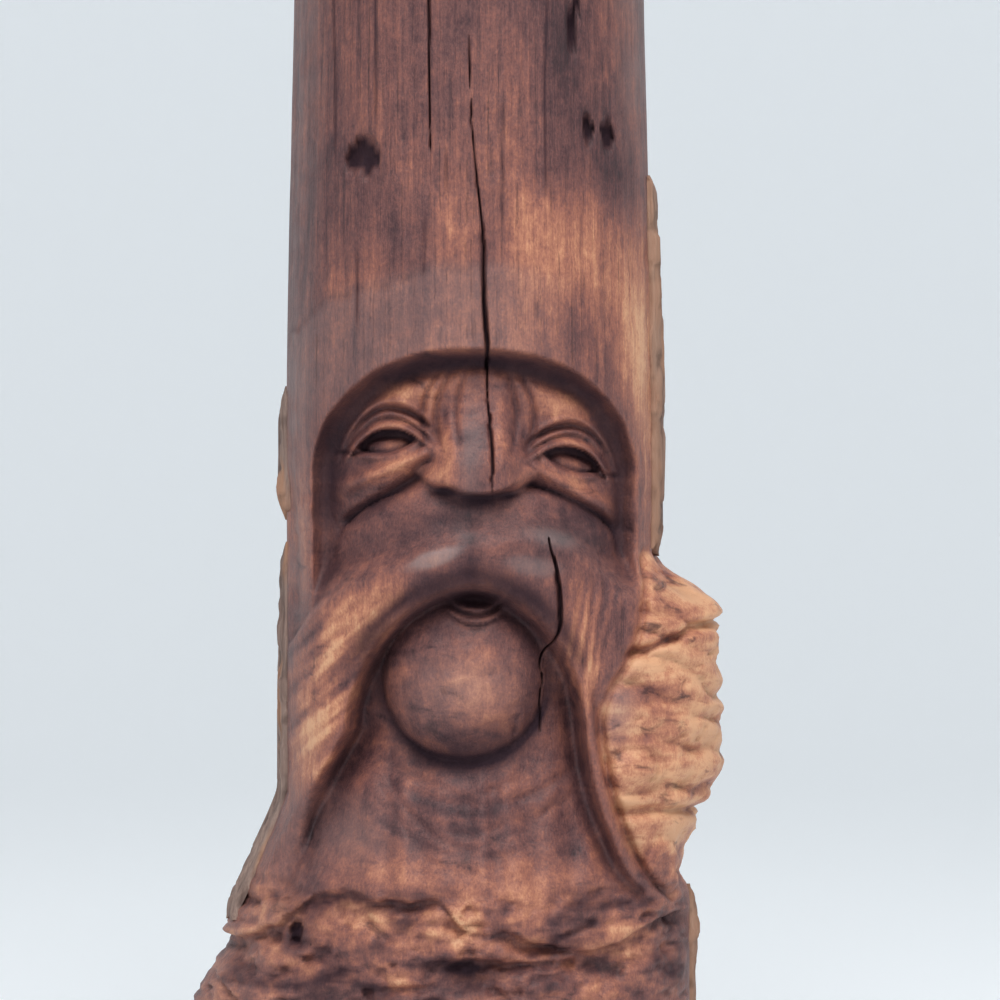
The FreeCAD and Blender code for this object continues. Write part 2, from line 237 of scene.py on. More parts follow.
def face(x, z):
    """The face in its hollow: a broad swell, two brows, the furrows between them, nose and eyes."""
    swell = 3.4 * dome(x, z, 2.5, 203, 41, 33) ** 0.8
    brows = 2.4 * patch(x, z, -17, 222.8, 14, 3.6, -14)
    brows = brows + 2.4 * patch(x, z, 27, 219.4, 13, 4.2, 18)
    furrows = 0
    for start, lean in ((-9.4, -0.44), (-6, -0.42), (-1.6, -0.3), (10.8, 0.24), (14.4, 0.42)):
        line = start + lean * (226 - z) * rise(203, 226, z)
        furrows = furrows - 1.4 * bell(x - line, 0.8) * rise(204, 212, z) * rise(230, 224, z)
    return swell + brows + furrows + nose(x, z) + eye(x, z, left_eye) + eye(x, z, right_eye)


def cheeks(x, z):
    """The upper lip and cheeks, one pillow under the nose that runs out into the moustache."""
    pillow = 7.6 * dome(x, z, 2, 181, 37, 19) ** (0.75 + 0.7 * rise(-8, -30, x))
    lobes = 2.2 * patch(x, z, -10.5, 178.4, 8.5, 3.2, -18)
    lobes = lobes + 1.7 * patch(x, z, 15.5, 177.6, 8, 3.6, 12)
    groove = -1.8 * bell(x - 1.2, 2.1) * rise(168, 176, z) * rise(193, 186, z)
    return pillow + lobes * rise(0, 3, pillow) + groove


def carving(x, z):
    """The whole figure's height above the skin, from the hood's arch down to the beard's end."""
    hood = inside_hood(x, z)
    arm_line = course(moustache_top, x, sort_by=0)
    above_arm = z - arm_line
    recess = rise(-1.5, 11, above_arm) * rise(150, 172, z)
    ground = -hood_depth * (1 - np.clip(1 - hood / 7.5, 0, 1) ** 2.4) * (hood > 0) * recess
    rim = -1.9 * rise(-1, 3, above_arm) * rise(215, 176, z) * rise(-33, -40, x)
    inside = rise(1.5, 9, hood) * recess
    relief = ground + rim + inside * face(x, z)
    pillow = cheeks(x, z)
    relief = np.where(pillow > 0, larger(relief, pillow - hood_depth - 0.4, 2.2), relief)
    arm_edge = 0.9 * bell(above_arm + 2, 2.4) * rise(-12, -24, x)
    relief = relief + arm_edge * rise(0, -4, inside_hollow(x, z) - 6)
    hair = 0.45 * rough((0.77 * z - 0.64 * x) / 2.2, (0.77 * x + 0.64 * z) / 14, 2, 4)
    on_left_arm = rise(1, -4, above_arm) * rise(-10, -20, x) * rise(108, 126, z)
    relief = relief + hair * on_left_arm
    strands = 0.35 * np.sin(x * 2.1 - z * 0.25 + 1.8 * noise(x / 5, z / 22, 9))
    relief = relief + strands * patch(x, z, 30, 163, 8, 13, 14)

    hollow = inside_hollow(x, z)
    wall = rise(0, 5, hollow)
    round_over = -1.3 * bell(hollow - 0.5, 2.6) * rise(120, 140, z)
    upper = rise(116, 132, z)
    left_share = rise(12, -12, x)
    depth = (12.6 + 3.6 * left_share) * upper + (8.6 * rise(86, 116, z)) * (1 - upper)
    relief = (relief + round_over) * (1 - wall) - depth * wall
    drapes = 0
    for sag_z, strength, bow in (
        (119.5, 0.8, 0.011), (114.8, 1.4, 0.013), (109.5, 1, 0.013),
        (102, 0.8, 0.011), (106, 0.8, 0.030), (99, 0.6, 0.034),
    ):
        line = sag_z + bow * (x - 2) ** 2 + 1.6 * noise(x / 11, 0, int(sag_z))
        uneven = rise(-0.7, 0.5, noise(x / 8, 0, int(sag_z) + 50))
        drapes = drapes - strength * uneven * bell(z - line, 1.1) * rise(32, 16, np.abs(x - 1))
    locks = 0.5 * np.sin(x * 0.62 + 2.2 * noise(x / 12, z / 30, 12)) * rise(84, 100, z)
    groove = -3.2 * bell(hollow - 5.5, 3.4) * rise(2, -10, x)
    groove = groove * rise(141, 133, z) * rise(86, 98, z)
    relief = relief + wall * (drapes + locks * rise(132, 118, z) + groove)
    strand_x = course([
        (29.9, 142.8), (32.9, 124.6), (36.5, 111.3), (41.1, 100.8), (45.7, 94.6), (53.2, 88)], z)
    along = rise(86, 92, z) * rise(152, 140, z)
    strand = 2.9 * bell(x - strand_x, 1.5) - 2 * bell(x - strand_x + 4.6, 2.2)
    strand = strand - 1.7 * bell(x - strand_x - 3.2, 1.2)
    relief = relief + strand * along

    chin = dome(x, z, chin_x, chin_z, chin_radius, chin_radius)
    ball = 13.2 * chin ** 0.86 - 17.2 - 0.5 * patch(x, z, 4, 149.5, 3.2, 2.2)
    scuffs = 0.9 * patch(x, z, 12.5, 134.5, 6.5, 3.2, -40) * noise(x / 1.3, z / 1.3, 31)
    scuffs = scuffs + 0.35 * rough(x / 6, z / 4, 3, 33)
    relief = np.where(chin > 0, np.maximum(relief, ball + scuffs), relief)
    lip_up = z - 166.6 - 0.062 * (x - 1.9) ** 2
    arcs = 2.3 * bell(lip_up, 0.85) - 1.6 * bell(lip_up + 1.5, 0.7)
    arcs = arcs + 1.3 * bell(lip_up + 2.8, 0.8) - 1.1 * bell(lip_up + 4.1, 0.6)
    lip = rise(8.4, 6, np.abs(x - 1.9)) * arcs
    mouth = -3.2 * patch(x, z, 1.9, 170.2, 6.8, 2.2)
    relief = relief + lip + mouth * rise(1, 3, hollow)
    fade = rise(84, 90, z) * rise(240, 236, z)
    return relief * fade


# ---- What age and weather have done to the log ------------------------------------------
# Below the beard and on the burl the wood was never smoothed: it keeps its folds, pits and
# ridges. Drying has opened long checks down the front, and the skin is ribbed by its grain.
def burl_edge(z):
    """How far right of the pith the burl's skin begins at each height."""
    return course([
        (60, 84), (54.5, 88), (47.5, 95), (41.2, 104.8), (38, 113), (34.8, 124),
        (33.2, 134), (35, 144), (41.3, 154.6), (44.5, 166), (46, 186)], z)


def burl_zone(angle, z):
    """1 on the burl's folded skin, 0 off it."""
    x = log_radius(angle, z) * np.sin(np.radians(np.clip(angle, -90, 90)))
    near_edge = rise(-2, 1.6, x - burl_edge(z))
    tall = rise(88, 97, z) * rise(184, 178, z)
    return np.where(angle > 75, 1, near_edge) * rise(125, 108, angle) * tall


def burl_folds(angle, z):
    """Three swellings parted by creases: slanted folds and a swirl on them, and pits all over."""
    arc = np.radians(angle) * 60
    x = log_radius(angle, z) * np.sin(np.radians(np.clip(angle, -90, 90)))
    warp = 2.6 * rough(arc / 16, z / 13, 3, 21)
    phase = (z + 0.26 * (arc - 60) + 1.3 * warp) / (10.8 + 1.6 * noise(arc / 30, z / 24, 23))
    deep = 0.35 + 0.65 * rise(-0.4, 0.7, noise(arc / 14, z / 9, 25))
    folds = -2.8 * deep * (1 - np.abs(np.sin(np.pi * phase)) ** 0.7)
    minor = 0.45 * rough((arc - 0.2 * z) / 12, (z + 0.28 * arc + warp) / 2.6, 3, 26)
    upper_seam = z - 158.5 - 0.26 * (x - 50) - 0.5 * warp
    lower_seam = z - 114.5 + 0.10 * (x - 44) - 0.4 * warp
    creases = -3 * bell(upper_seam, 1.2) - 3.2 * bell(lower_seam, 1.6)
    swirl = np.hypot((x - 43.6) / 7.4, (z - 124.4) / 5.4)
    eddy = 1.7 * np.clip(1 - swirl ** 2, 0, 1) - 1 * bell(swirl - 1.1, 0.16)
    hook = -1.6 * bell(np.hypot(x - 46.5, z - 125.2) - 3.2, 0.5) * rise(-1, 1.5, x - 46.5)
    lump = 2.4 * dome(x, z, 51, 97.5, 5.2, 8) ** 0.8 - 1.2 * dome(x, z, 58.5, 99, 4.5, 9)
    pits = -0.8 * rise(0.45, 0.95, noise((arc + z) / 4.4, (z - 0.5 * arc) / 2.2, 27))
    swellings = -1.8 * rise(0.1, 0.9, noise(arc / 15, z / 13, 29))
    calmer = rise(36, 47, x + 0.2 * (z - 130))
    edge = -2.6 * bell(x - burl_edge(z) - 0.8, 1.4)
    waves = (folds + minor + swellings) * (0.3 + 0.7 * calmer)
    return edge + waves + creases + eddy + hook + lump + pits * calmer


def rough_wood(x, z):
    """Unsmoothed wood under the beard: a torn ledge, a hollow under it, lumps, slots and pits."""
    warp = 2.6 * rough(x / 18, z / 9, 3, 41)
    edge = course([
        (-90, 82), (-60, 80), (-48, 86.5), (-40, 92.5), (-33, 94), (-25, 92),
        (-17, 92.4), (-9.3, 93), (-5, 90.5), (-2, 86.5), (9, 85), (20, 80.5),
        (32, 79), (45, 84), (90, 84)], x, sort_by=0)
    under_edge = edge + 0.8 * noise(x / 3, 0, 43) - z
    torn = -3.4 * rise(0, 1.3, under_edge) * rise(12, 1, under_edge)
    lumps = 1.2 * rough(x / 9, (z + warp) / 5, 4, 45) + 0.6 * rough(x / 2.6, z / 1.7, 2, 46)
    ledges = -1.5 * (1 - np.abs(np.sin(np.pi * (z + 1.6 * warp) / 10.5)) ** 0.6)
    pits = -1.9 * rise(0.50, 0.95, rough(x / 6.5, z / 3.6, 2, 49))
    ledge = 1.8 * dome(x, z, 1, 81, 11, 5)
    cave = -5.5 * rise(77.2, 75.8, z + 0.5 * warp) * patch(x, z, 0.5, 73.5, 8.5, 5.5)
    slots = -2.6 * patch(x, z, 22.5, 79.2, 7.5, 0.9, 5) - 2 * patch(x, z, -17, 69, 10, 1, -3)
    return torn + lumps + ledges + pits + ledge + cave + slots


def checks(x, z):
    """How open each drying check is here, from 0 to 1: wedges that close at their ends."""
    opened = 0
    for route, widths in (
        (main_crack, [(0.04, 312), (0.12, 296), (0.22, 276), (0.42, 250), (0.60, 234),
                      (0.22, 226), (0.38, 212), (0.34, 201), (0.03, 196)]),
        (lobe_crack, [(0.05, 188), (0.34, 180), (0.60, 170), (0.46, 160), (0.20, 156),
                      (0.22, 144), (0.05, 132)]),
        (crown_crack, [(0.56, 406), (0.30, 330), (0.20, 304), (0.05, 282)]),
    ):
        half_width = course(widths, z)
        low, high = widths[-1][1], widths[0][1]
        wiggle = 0.16 * noise(z / 2.3, 0, int(high))
        across = np.abs(x - course(route, z) - wiggle) / half_width
        share = np.clip(1.25 - across, 0, 1)
        share = share * rise(low - 1, low + 4, z) * rise(high + 0.1, high - 3, z)
        opened = np.maximum(opened, share)
    return opened


def knot_holes(x, z):
    """The worn hollows round the dead knots, and the bark pocket near the crown."""
    wobble = 0.35 * noise(x / 2, z / 2, 61)
    total = 0
    for hole_x, hole_z, half_width, half_height in (
        (-26.7, 283.9, 4.6, 4.2), (30.9, 291, 1.5, 3.2), (35.9, 290.9, 1.6, 3.4), (-45.5, 81.3, 2.4, 3.4),
        (26.6, 318, 1.3, 3.9), (27.9, 323.5, 1.1, 3),
    ):
        away = np.hypot((x - hole_x) / half_width, (z - hole_z) / half_height) + wobble
        total = np.maximum(total, rise(1.18, 0.80, away))
    return total


# ---- The log's mesh ----------------------------------------------------------------------
# A net of columns and rows wraps the log, closest together on the face. Columns lean over to
# follow the checks, so that each check's floor is a run of edges. Both sawn ends are closed.
def spaced(start, stops):
    """Places from start on, in even steps up to each stop: stops are (place, step)."""
    runs = []
    for end, step in stops:
        runs.append(np.linspace(start, end, max(1, round((end - start) / step)), endpoint=False))
        start = end
    return np.concatenate(runs + [[start]])


crown_edge = log_height - crown_round
columns = spaced(-98, [(-60, 1.2), (60, 0.8), (112, 1.15), (262, 5)])[:-1]
rows = spaced(0, [(60, 2.6), (98, 0.8), (124, 0.9), (190, 0.7), (226, 0.46), (240, 0.6),
                  (300, 2), (crown_edge, 5), (log_height, 0.75)])
angle, z = np.meshgrid(columns, rows)
for route in (main_crack, lobe_crack, crown_crack):
    low, high = min(point[1] for point in route), max(point[1] for point in route)
    target = np.degrees(np.arcsin(course(route, z) / log_radius(5, z)))
    home = columns[np.argmin(np.abs(columns - np.mean(target[(z >= low) & (z <= high)])))]
    away = angle - home
    held = rise(low - 30, low, z) * rise(high + 30, high, z)
    angle = angle + held * bell(away, 9) * (target - home) - 0.42 * held * away * bell(away, 3)

turn = np.radians(angle)
skin = log_radius(angle, z)
skin_x = skin * np.sin(turn)
front = rise(84, 72, np.abs(angle))
figure = carving(skin_x, z) * front
on_burl = burl_zone(angle, z)
folds = burl_folds(angle, z) * on_burl
from_front = np.abs((angle + 180) % 360 - 180)
below = rise(97, 90, z) * np.where(angle > 0, rise(87, 70, angle), rise(112, 92, from_front))
natural = rough_wood(skin_x, z) * below * (1 - on_burl)
calm = np.clip(1 - below - on_burl, 0, 1)
ribs = 0.35 * noise(turn * 50 / 5.5, z / 60, 71) + 0.16 * noise(turn * 50 / 1.6, z / 25, 72)
outside_hood = rise(0.5, -3, inside_hood(skin_x, z)) * rise(170, 200, z)
outside_hood = outside_hood + rise(60, 84, from_front)
ribs = ribs * calm * np.clip(outside_hood, 0.25, 1)
ribs = ribs * rise(-98, -88, angle) * rise(262, 252, angle)
tool_marks = 0.30 * rough(skin_x / 6, z / 4, 2, 75) * calm * front
gaps = checks(skin_x, z) * front
sunken = knot_holes(skin_x, z) * front
planed_off, check_depth, sunk_by = 0.35, 5.5, 3.2   # below the skin: the wood, the checks, the knots
relief = figure + folds + natural + ribs + tool_marks - planed_off - check_depth * gaps - sunk_by * sunken
relief = relief * rise(0, 5, z) * rise(log_height, crown_edge, z)
# Only the burl's lumps stand out past the log's skin, and not at its far right, where the log
# is as wide as it gets.
relief = 1.1 * on_burl - larger(1.1 * on_burl - relief, 0.04, 0.6)
relief = relief - np.clip(relief, 0, None) * rise(65.5, 67.6, skin_x)

sideways = rise(52, 84, np.abs(angle))
push_x = sideways * np.sin(turn)
push_y = -1 + sideways * (1 - np.cos(turn))
length = np.hypot(push_x, push_y)
x = skin_x + relief * push_x / length
y = -skin * np.cos(turn) + relief * push_y / length
side = np.stack([x, y, z], axis=-1)


def sawn_end(edge, level, shares, seed):
    """Rings from an edge in to the pith, level but for the saw's marks and open radial checks."""
    around = np.arctan2(edge[:, 0], -edge[:, 1])
    rings = []
    for share in shares:
        ring = edge * share
        split = sum(bell(around - a, 0.035 + 0.02 * share) for a in (-2.6, -1.35, -0.22, 0.9, 1.9, 2.75))
        marks = 0.10 + 0.10 * noise(ring[:, 0] / 1.5, ring[:, 1] / 30, seed)
        inward = np.sign(level - 0.5 * log_height) * (1.6 * split * rise(0.05, 0.5, share) + marks)
        ring[:, 2] = level - np.where(share < 0.985, inward, 0)
        rings.append(ring)
    rings[-1][:, 2] = level - np.sign(level - 0.5 * log_height) * 0.3
    return np.array(rings)


def net_faces(tall, around, first=0):
    """Four-sided faces between neighbouring rows of a net that closes on itself all round."""
    low = first + np.arange(tall - 1)[:, None] * around + np.arange(around)[None, :]
    along = first + np.arange(tall - 1)[:, None] * around + (np.arange(around)[None, :] + 1) % around
    return np.stack([low, along, along + around, low + around], axis=-1).reshape(-1, 4)


def make_piece(name, points, faces, flat_angle=None):
    """A mesh object, placed by its vertices, from points in millimetres and lists of corners."""
    mesh = bpy.data.meshes.new(name)
    mesh.from_pydata((np.asarray(points) * MILLIMETRE).tolist(), [], faces)
    mesh.polygons.foreach_set("use_smooth", [True] * len(mesh.polygons))
    if flat_angle is not None:
        mesh.set_sharp_from_angle(angle=np.radians(flat_angle))
    mesh.validate()
    piece = bpy.data.objects.new(name, mesh)
    bpy.context.scene.collection.objects.link(piece)
    return piece


end_shares = np.array([0.97, 0.9, 0.78, 0.62, 0.42, 0.2])
top_rings = sawn_end(side[-1], log_height, end_shares, 81)
base_rings = sawn_end(side[0], 0, end_shares, 82)
around = len(columns)
net = np.concatenate([base_rings[::-1], side, top_rings])
points = net.reshape(-1, 3)
faces = net_faces(len(net), around).tolist()
for ring, level, flip in ((0, 0.3, True), (len(net) - 1, log_height - 0.3, False)):
    pole = len(points)
    points = np.vstack([points, [[0, 0, level]]])
    start = ring * around
    for i in range(around):
        corners = [start + i, start + (i + 1) % around, pole]
        faces.append(corners[::-1] if flip else corners)
log_piece = make_piece("carved_log_wood", points, faces)


# ---- Stain, wear, weather and painted shade on the log -------------------------------------
# Four shares are kept at each vertex for the wood to read: how golden the wood is there,
# painted highlights on the chin and eyes included, how much dark stain and painted shade lie
# in it, how grey it has weathered, with a painted sheen down the nose, and how far its skin is
# a burl's.
def softened(field, times):
    """The field with each value averaged with its neighbours all round, times over."""
    for _ in range(times):
        field = 0.5 * field + 0.25 * (np.roll(field, 1, axis=1) + np.roll(field, -1, axis=1))
        padded = np.pad(field, ((1, 1), (0, 0)), mode="edge")
        field = 0.5 * field + 0.25 * (padded[:-2] + padded[2:])
    return field


def with_patches(field, spots):
    """The field with leaning patches added: each is an amount, then what patch takes."""
    for amount, *spot in spots:
        field = field + amount * patch(skin_x, z, *spot)
    return field


shape = figure + folds + natural
fine_hollow = softened(shape, 5) - shape
broad_hollow = softened(shape, 90) - shape
on_shaft = rise(236, 262, z)
broad_hollow = broad_hollow * rise(60, 90, z) * rise(262, 236, z) + fine_hollow * on_shaft
# Gold shows where hands and light have worn the wood: on the crests, the arms and the shaft.
# Painted highlights brighten the chin's ball and the lower part of each eye.
x = skin_x
gold = 0.33 + 0.05 * noise(x / 14, z / 50, 91)
gold = with_patches(gold, [
    (0.15, -30, 251, 9, 11, 20), (0.06, -11, 262, 8, 13), (0.30, 15, 262, 8, 24),
    (0.30, 30, 254, 12, 16, -14), (0.36, 44, 232, 5, 30, -8), (0.16, -25, 294, 4, 9),
    (0.12, 16, 308, 6, 16), (-0.22, 37, 281, 7, 15, -22), (-0.12, 21, 318, 10, 14, 20),
    (-0.18, 24, 306, 5, 16, 8), (-0.16, 20, 279, 5, 7, -20), (-0.14, -18.5, 263, 3.5, 8, -24),
    (0.12, -5, 266, 5, 10, 10), (0.10, 4, 296, 5, 16), (-0.12, -36, 276, 9, 20, 12),
    (0.24, -46, 192, 4.5, 24), (0.16, 46, 186, 5, 20), (0.34, -15, 222.6, 9, 4, -14),
    (0.40, 25, 219, 9, 4, 16), (0.30, -20.9, 214.6, 7, 1.3, -6), (0.32, 27.3, 210, 7, 1.3, 14),
    (0.24, -21, 203, 8, 2.2, -22), (0.42, 28, 198.8, 9, 2.6, 24), (0.34, -5.4, 207, 2.4, 8, -12),
    (0.24, 8, 212, 2, 9, 4), (0.20, -8.2, 201.2, 3.5, 2.4), (0.14, 12.8, 200.4, 3.5, 2.4),
    # (-20, 209.3) and (26.8, 204.6): painted highlights on the lower part of the eyes.
    (0.20, -9, 220, 1.5, 5, 22), (0.26, -20, 209.3, 4.4, 1.1, -6), (0.26, 26.8, 204.6, 4.4, 1.1, 14),
    (-0.12, -12, 188, 13, 6, -12), (0.24, -9.5, 179.6, 6, 1.8, -16), (0.38, -27, 166.5, 13, 5, -34),
    (0.34, -37, 153, 6, 15, 18), (0.52, -42, 131, 6, 14, 20), (-0.10, 22, 184, 7, 6),
    # (-1, 147): a painted highlight on the chin's ball.
    (0.30, 29.5, 161, 4, 11, 16), (0.34, 32, 150, 2.6, 7, 10), (0.26, -1, 147, 13, 10),
    (-0.12, -4, 114, 22, 9), (0.26, 16, 95, 17, 7), (0.14, -20, 100, 12, 5, -10),
    (-0.24, 51, 97.5, 5, 9), (0.34, -5, 82.5, 10, 3.4, 4), (0.34, -4, 86.5, 9, 3),
    (0.30, -58, 90, 6, 7), (0.34, -22, 86, 9, 3, 14), (0.26, -42, 72.5, 3, 3), (0.24, -19, 73, 6, 3),
    (0.20, 40, 80, 10, 5), (0.18, 43, 124.4, 6, 4.6), (0.16, 50, 162.6, 4, 4), (0.12, 48, 109, 5, 5),
    (-0.16, 38, 137, 5, 9), (0.14, 29, 268, 9, 12), (0.20, -10, 98, 14, 5), (0.26, 62, 145, 8, 22),
    (0.12, 43, 77, 9, 8), (0.08, -60, 74, 16, 14), (0.32, 47, 246, 5, 32), (0.10, 0, 230, 40, 12),
    (0.16, -17, 200, 10, 8),
])
# The grain shows as bands on the beard, streaks on the moustache's arm and a flame by its crack.
drape_tone = rough((z - 0.014 * (x - 2) ** 2) / 2.8, x / 26, 3, 57)
gold = gold + 0.13 * drape_tone * patch(x, z, 0, 112, 28, 17)
arm_streaks = rough((0.77 * z - 0.64 * x) / 2.2, (0.77 * x + 0.64 * z) / 14, 3, 4)
gold = gold + 0.24 * arm_streaks * patch(x, z, -36, 148, 14, 28, 20)
flame = np.sin(x * 2.3 - z * 0.45 + 2.6 * noise(x / 4, z / 14, 9))
gold = gold + 0.15 * flame * patch(x, z, 31, 161, 7, 15, 14)
ragged = rough(turn * 50 / 9, z / 5, 3, 95)
bands = rough(turn * 50 / 13, z / 3.6, 3, 97)
torn_gold = 0.05 + 0.17 * ragged - 0.10 * bands + 0.10 * rough(x / 3.2, z / 1.9, 3, 99)
gold = gold + below * torn_gold + on_burl * (0.46 + 0.12 * ragged + 0.18 * bands)
# Crests are rubbed a little more golden; broad hollows are darkened as painted shade.
gold = gold + 0.07 * np.clip(-fine_hollow, 0, 1.6) - 0.035 * np.clip(broad_hollow, 0, 4)
# Painted shade darkens the hollows, where dark stain has also settled, the wall under the
# hood's arch, round the chin, under the nose and the moustache, and in the checks.
stain_and_shade = 0.32 * np.clip(fine_hollow, 0, 3) + 0.105 * np.clip(broad_hollow, 0, 7)
stain_and_shade = np.minimum(stain_and_shade, 0.20 + 0.66 * rise(168, 184, z))
over_arch = inside_hood(x, z)
# Painted shade on the wall just inside the hood's arch, which faces down.
under_arch_shade = rise(-0.2, 0.9, over_arch) * rise(7.2, 5, over_arch)
stain_and_shade = stain_and_shade + 0.50 * under_arch_shade * rise(176, 196, z) * front
stain_and_shade = stain_and_shade * np.where(on_burl > 0.3, 0.62, 1)
# Each patch is painted shade: in the eye openings, the cheek creases, beside and under the nose and in
# its nostrils, under the hood's arch, under and between the moustache's lobes, under and beside the chin,
# beside the face, in the beard's groove, and under the torn ledge, in its cave, slots and root hole.
stain_and_shade = with_patches(stain_and_shade, [
    (0.30, -21.5, 212.4, 5.4, 1, -6), (0.30, 27, 207.6, 5.4, 1, 14), (0.50, 2.4, 169.4, 14, 3.6),
    (0.42, -21.5, 195, 8, 1.9, -26), (0.46, 29.5, 192, 9, 2.2, 34), (0.30, -12.5, 212, 2, 4, 30),
    (0.36, -36, 89.5, 15, 2.8, -4), (0.62, 1.5, 74, 8.5, 3, 4), (0.24, -16, 89.5, 6, 1.8),
    (0.34, -36, 72, 12, 2.4), (0.30, 24, 81.5, 12, 2, 6), (0.30, -45, 82, 6, 6),
    (0.22, -31, 200, 5, 10), (0.20, 37, 190, 4, 9), (0.16, 3.5, 224.5, 5, 3), (0.34, 44, 91, 7, 2, 36),
    (0.24, 42, 107, 3, 5, -30), (0.85, 2.6, 194.4, 5.2, 1.8), (0.85, -6.3, 197, 3.4, 1.2, -8),
    (0.75, 10.8, 195.8, 2.8, 0.8, -10), (0.34, 0, 126.5, 17, 3.4), (0.30, -26, 150, 5, 12, 14),
    (0.16, 22, 186.5, 7, 3, 12), (0.26, 0.9, 180, 2.2, 7), (0.14, -14, 189, 12, 4, -10),
])
# Painted shadow: a ring round the chin's ball, a band just under the moustache's lower edge, and the
# chin's lower half and its right side.
round_chin = np.hypot(x - chin_x, z - chin_z) - chin_radius - 1.2
stain_and_shade = stain_and_shade + 0.50 * bell(round_chin + 0.6, 1.8) * rise(156, 140, z)
stain_and_shade = stain_and_shade + 0.70 * bell(inside_hollow(x, z) + 1.4, 2.8) * rise(146, 160, z) * front
shaded = 0.52 * rise(141, 130, z - 0.16 * (x + 6)) + 0.30 * patch(x, z, -2, 164, 12, 5)
shaded = shaded + 0.34 * patch(x, z, 19, 147, 5.5, 15)
stain_and_shade = stain_and_shade + shaded * rise(0.4, -1.4, round_chin)
# A faint line runs above the arch, and fine dark lines run down the shaft.
upper_line = 0.26 * bell(over_arch + 22 + 1.5 * ragged, 0.9)
stain_and_shade = stain_and_shade + upper_line * rise(8, -10, x) * rise(230, 240, z) * front
for line_x, low, high in (
    (-35, 282, 420), (-24.2, 288, 420), (-5.6, 271, 287), (-11.5, 250, 270),
    (8.6, 262, 300), (20, 270, 420), (-29, 236, 262),
):
    dark_line = 0.75 * bell(x - line_x - 0.5 * noise(z / 30, 0, int(low)), 0.42)
    stain_and_shade = stain_and_shade + dark_line * rise(low, low + 9, z) * rise(high, high - 6, z) * front
# Painted shade in the checks and the knot hollows.
stain_and_shade = np.maximum(stain_and_shade, np.maximum(1.3 * gaps, 0.95 * sunken))
stain_and_shade = stain_and_shade + 0.22 * below * rise(0.35, 0.85, -ragged)
stain_and_shade = stain_and_shade + 0.40 * below * front * rise(0.1, 0.8, bands - 0.5 * ragged)
# Weather has greyed the sides and back. Handling has rubbed the cheek pale, the chin's middle
# is paler, and a painted sheen runs down the nose's ridge.
grey = with_patches(0, [
    (0.44, 0.6, 207, 2.8, 12, 3), (0.30, 16.6, 177.9, 6, 2.4, 6), (0.75, 22, 185.3, 6, 2.2, 12),
    (0.45, -0.4, 185.6, 3.2, 1.6), (0.42, -2, 147, 13, 8), (0.30, -30, 108, 10, 8),
    (0.60, 39, 140, 4, 8, 10), (0.55, 60.5, 99, 3, 11),
])
# The lobes of the moustache are rubbed pale along their crests, with an edge to the pale.
for amount, *crest in (
    (0.95, -9.4, 179.7, 7.8, 2, -19), (0.30, 16.6, 178, 6.6, 2.4, 8),
    (0.18, 21, 185.4, 6.6, 2, 12),
):
    grey = grey + amount * rise(0.15, 0.70, patch(x, z, *crest) * (1 + 0.6 * ragged))
on_hood = rise(-25, -21, over_arch + ragged) * rise(0.5, -1, over_arch)
grey = grey + 0.32 * on_hood * rise(34, 4, x) * rise(205, 228, z)
side_grey = np.where(skin_x < 0, 0.34 + 0.33 * rise(90, 140, z), 0.12 + 0.6 * rise(280, 310, z))
side_grey = np.where(from_front > 110, 0.7, side_grey)
side_grey = side_grey * (1 - 0.75 * patch(x, z, -47, 138, 12, 27))
grey = grey * front + side_grey * rise(46, 74, from_front) * (1 - on_burl) * (0.7 + 0.3 * ragged)
grey = grey * (1 - 0.8 * np.clip(stain_and_shade, 0, 1))
# Straight grain gives way where a tool has cut across it: on the burl, the torn wood and the figure.
curly = np.maximum(np.maximum(on_burl, 0.85 * below * front), 0.7 * rise(0.3, 1.6, np.abs(figure)))
on_moustache = np.maximum(patch(x, z, 2, 180, 34, 15), patch(x, z, -38, 148, 14, 26))
curly = np.maximum(curly, 0.75 * on_moustache)
shares = np.tile([0.55, 0.05, 0.30, 0], (len(points), 1))
first = len(end_shares) * around
shares[first:first + gold.size] = np.stack([gold, stain_and_shade, grey, curly], axis=-1).reshape(-1, 4)
layer = log_piece.data.color_attributes.new("weather_and_shade", "FLOAT_COLOR", "POINT")
layer.data.foreach_set("color", np.clip(shares, 0, 1).astype(np.float32).ravel())


# ---- Oiled red cedar ------------------------------------------------------------------------
# Heartwood of a red cedar or juniper, gouged, scraped and wiped with oil. To the eye it is a
# satin brown with fine dark lines along the log, rings that show as contours where they are
# cut across, orange where hands have worn it and painted highlights lie, and nearly black
# where stain has settled and shade is painted in.
def linear(code):
    """A linear colour with full alpha from an sRGB hex code."""
    parts = [int(code[i:i + 2], 16) / 255 for i in (1, 3, 5)]
    return [p / 12.92 if p <= 0.04045 else ((p + 0.055) / 1.055) ** 2.4 for p in parts] + [1]


def add(material, kind, inputs=None, stops=None, **settings):
    """A new shader node of that kind. Each input gets a value, or a link from an output.

    A colour ramp's stops are (place, sRGB hex code).
    """
    node = material.node_tree.nodes.new("ShaderNode" + kind)
    for name, value in settings.items():
        setattr(node, name, value)
    for socket, value in (inputs or {}).items():
        if isinstance(value, bpy.types.NodeSocket):
            material.node_tree.links.new(value, node.inputs[socket])
        else:
            node.inputs[socket].default_value = value
    for i, (place, code) in enumerate(stops or ()):
        element = node.color_ramp.elements[i] if i < 2 else node.color_ramp.elements.new(1)
        element.position = place
        element.color = linear(code)
    return node


